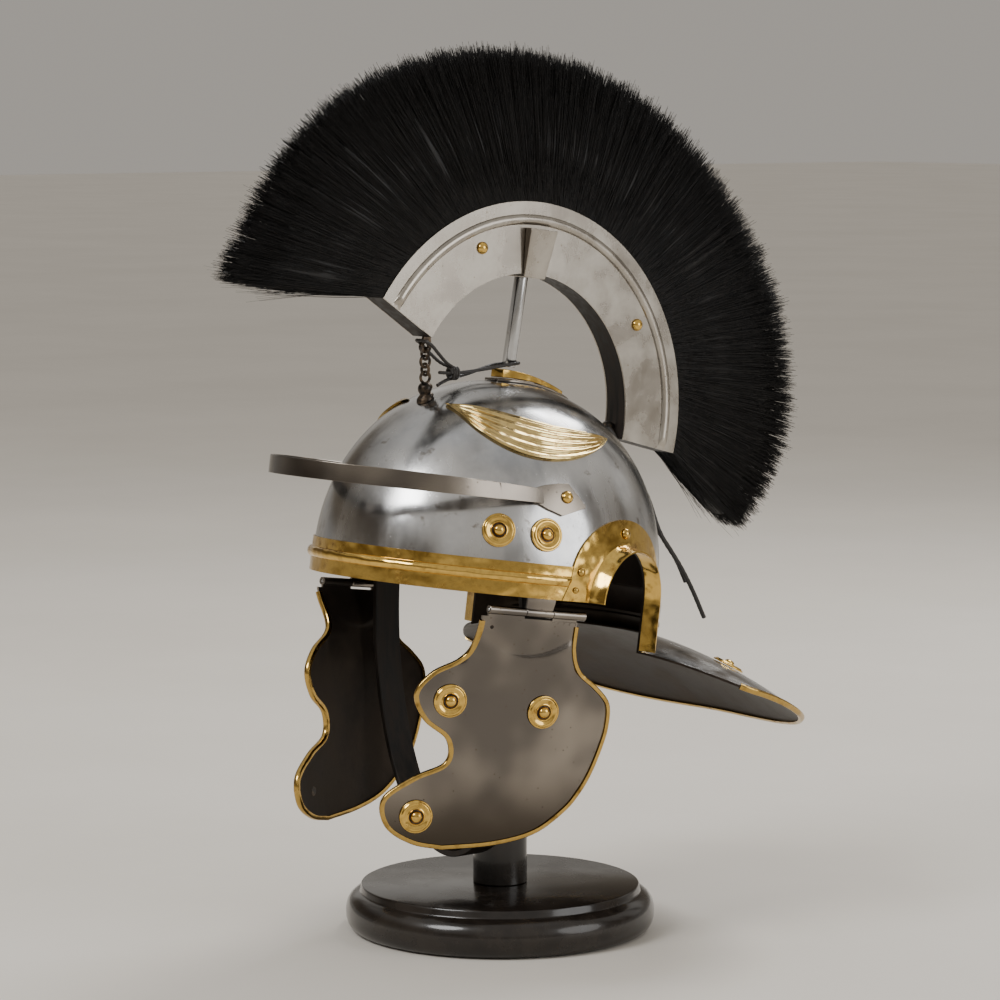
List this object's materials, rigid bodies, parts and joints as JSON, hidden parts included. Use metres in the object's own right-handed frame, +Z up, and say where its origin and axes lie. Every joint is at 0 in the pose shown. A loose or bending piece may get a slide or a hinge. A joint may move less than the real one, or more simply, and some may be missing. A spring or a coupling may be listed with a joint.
{
  "type": "crested legionary helmet on a display stand",
  "caption": "Steel helmet with a tall black hair crest, brass trim, hinged cheek guards and a sloping neck guard, held up from inside by a plain round-based wooden stand.",
  "frame": {"origin": "middle of the stand base's underside, on the surface that it stands on", "axes": "+Z up, the brow faces -Y, +X is the wearer's left"},
  "size_m": [0.2882, 0.4657, 0.5689],
  "materials": {
    "steel": "polished steel sheet with soft vertical streaks",
    "satin_steel": "satin steel sheet",
    "blackened_iron": "dark oiled iron",
    "brass": "polished brass, mottled with tarnish",
    "black_lacquer": "wood in gloss black lacquer",
    "dark_wood": "black stained wood",
    "black_hair": "stiff black bristle",
    "black_leather": "narrow black leather lace"
  },
  "bodies": {
    "helmet": {"bowl": "steel", "neck_guard": "steel", "crest_foot": "steel", "hinge_pin_left": "steel", "hinge_pin_right": "steel", "peak": "satin_steel", "crest_stay": "satin_steel", "crest_plate_left": "satin_steel", "crest_plate_right": "satin_steel", "hinge_leaf_left": "satin_steel", "hinge_leaf_right": "satin_steel", "crest_front_eye": "blackened_iron", "crest_rear_eye": "blackened_iron", "chain_link_1": "blackened_iron", "chain_link_2": "blackened_iron", "chain_link_3": "blackened_iron", "bowl_hook": "blackened_iron", "neck_guard_edging": "brass", "neck_guard_boss_left": "brass", "neck_guard_boss_right": "brass", "brow_band": "brass", "peak_rivet_left": "brass", "peak_rivet_right": "brass", "ear_guard_left": "brass", "ear_guard_right": "brass", "ear_rivet_top_left": "brass", "ear_rivet_top_right": "brass", "ear_rivet_front_left": "brass", "ear_rivet_front_right": "brass", "ear_rivet_low_left": "brass", "ear_rivet_low_right": "brass", "leaf_left": "brass", "leaf_right": "brass", "bowl_boss_front_left": "brass", "bowl_boss_front_right": "brass", "bowl_boss_rear_left": "brass", "bowl_boss_rear_right": "brass", "crest_holder": "brass", "crest_rivet_front_left": "brass", "crest_rivet_front_right": "brass", "crest_rivet_rear_left": "brass", "crest_rivet_rear_right": "brass", "stand_base": "black_lacquer", "stand_post": "black_lacquer", "stand_loop": "dark_wood", "crest_block": "dark_wood", "plume": "black_hair", "front_lace": "black_leather", "front_loop": "black_leather", "rear_lace": "black_leather"},
    "left_cheek": {"cheek_plate_left": "satin_steel", "cheek_edging_left": "brass", "cheek_boss_front_left": "brass", "cheek_boss_rear_left": "brass", "cheek_boss_low_left": "brass"},
    "right_cheek": {"cheek_plate_right": "satin_steel", "cheek_edging_right": "brass", "cheek_boss_front_right": "brass", "cheek_boss_rear_right": "brass", "cheek_boss_low_right": "brass"}
  },
  "joints": [
    {"name": "left_cheek_hinge", "type": "hinge", "parent": "helmet", "child": "left_cheek", "pos_m": [0.09175, -0.04451, 0.2192], "axis": [-0.1506, -0.979, 0.1376], "range_deg": [-4, 80]},
    {"name": "right_cheek_hinge", "type": "hinge", "parent": "helmet", "child": "right_cheek", "pos_m": [-0.09175, -0.04451, 0.2192], "axis": [-0.1506, 0.979, -0.1376], "range_deg": [-4, 80]}
  ]
}
